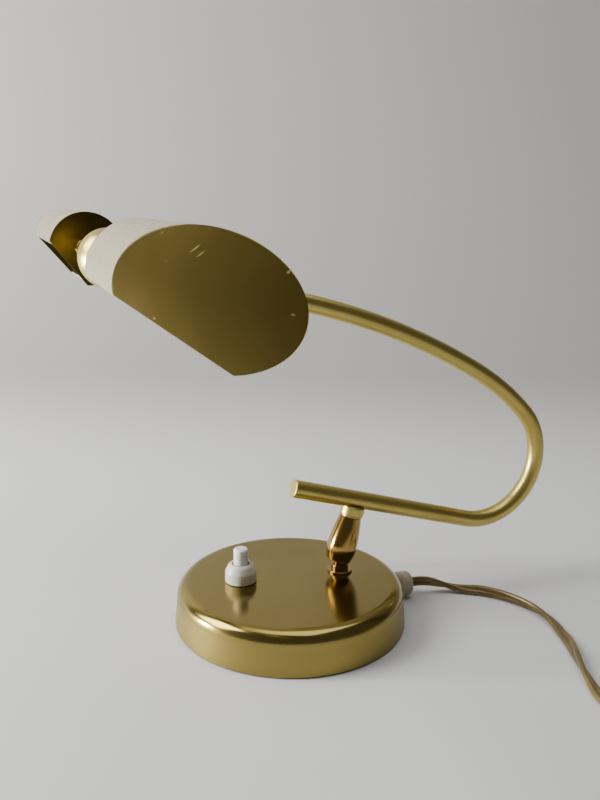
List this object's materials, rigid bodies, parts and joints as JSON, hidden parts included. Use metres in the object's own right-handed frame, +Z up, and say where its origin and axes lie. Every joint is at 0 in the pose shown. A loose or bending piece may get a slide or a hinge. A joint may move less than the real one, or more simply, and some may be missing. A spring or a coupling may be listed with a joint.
{
  "type": "desk lamp",
  "caption": "Brass desk lamp: weighted round base with push switch, ball joint, bent tube arm and a long trough shade in two halves that turn on a central hub.",
  "frame": {"origin": "on the desk, under the middle of the round base", "axes": "+Z up; the arm bends in the XZ plane, towards +X, and the shades' long line runs along Y"},
  "size_m": [0.3931, 0.4535, 0.232],
  "materials": {
    "satin_brass": "brushed and lacquered brass, pale and satin",
    "polished_brass": "polished brass, slightly tarnished",
    "dark_brass": "darkened brass with fine scratches",
    "zinc_steel": "zinc-plated steel",
    "cast_iron": "rough grey casting",
    "felt": "dark felt",
    "white_plastic": "white moulded plastic",
    "cream_plastic": "cream moulded plastic",
    "black_plastic": "black moulded plastic",
    "bulb_glass": "frosted lamp glass",
    "gold_cord": "gold-coloured flat twin cord",
    "nickel": "nickel-plated pins"
  },
  "bodies": {
    "base": {"base_shell": "satin_brass", "base_weight": "cast_iron", "plate_screw_1": "zinc_steel", "plate_screw_2": "zinc_steel", "plate_screw_3": "zinc_steel", "base_plate": "zinc_steel", "felt_pad": "felt", "switch_gasket": "black_plastic", "switch_collar": "white_plastic", "switch_body": "black_plastic", "cord_bush": "cream_plastic", "cord_inlet": "gold_cord", "cord_clamp": "cream_plastic", "cord_tube": "gold_cord", "cord_coil": "gold_cord", "cord_tail": "gold_cord", "plug_body": "cream_plastic", "plug_pin_left": "nickel", "plug_pin_right": "nickel"},
    "stem": {"stem_ball": "polished_brass", "stem_washer": "zinc_steel", "stem_nut": "zinc_steel"},
    "arm": {"ball_socket": "polished_brass", "ball_cup": "black_plastic", "joint_barrel": "polished_brass", "tube_collar": "polished_brass", "grub_screw": "zinc_steel", "arm_tube": "polished_brass", "arm_end_plug": "polished_brass", "hub_ball": "polished_brass", "arm_ferrule": "polished_brass", "near_rod": "polished_brass", "near_washer": "zinc_steel", "near_clamp_ring": "zinc_steel", "near_lampholder": "black_plastic", "near_bulb": "bulb_glass", "far_rod": "polished_brass", "far_washer": "zinc_steel", "far_clamp_ring": "zinc_steel", "far_lampholder": "black_plastic", "far_bulb": "bulb_glass"},
    "near_shade_half": {"near_shade": "satin_brass", "near_outer_cap": "dark_brass", "near_inner_cap": "dark_brass"},
    "far_shade_half": {"far_shade": "satin_brass", "far_outer_cap": "dark_brass", "far_inner_cap": "dark_brass"},
    "switch_button": {"switch_plunger": "white_plastic"}
  },
  "joints": [
    {"name": "stem_turn", "type": "hinge", "parent": "base", "child": "stem", "pos_m": [0.0313, 0, 0.0241], "axis": [0, 0, 1], "range_deg": [-160, 160]},
    {"name": "arm_tilt", "type": "hinge", "parent": "stem", "child": "arm", "pos_m": [0.0313, 0, 0.036], "axis": [0, 1, 0], "range_deg": [-34.5, 2.5]},
    {"name": "near_shade_turn", "type": "hinge", "parent": "arm", "child": "near_shade_half", "pos_m": [-0.09747, 0, 0.20833], "axis": [0, 0.9999, 0.0131], "range_deg": [-120, 120]},
    {"name": "far_shade_turn", "type": "hinge", "parent": "arm", "child": "far_shade_half", "pos_m": [-0.09747, 0, 0.20833], "axis": [0, 0.9999, 0.0131], "range_deg": [-120, 120]},
    {"name": "switch_press", "type": "slide", "parent": "base", "child": "switch_button", "axis": [0, 0, -1], "range_m": [0, 0.003], "stiffness_N_per_m": 600, "springref_m": -0.003}
  ]
}
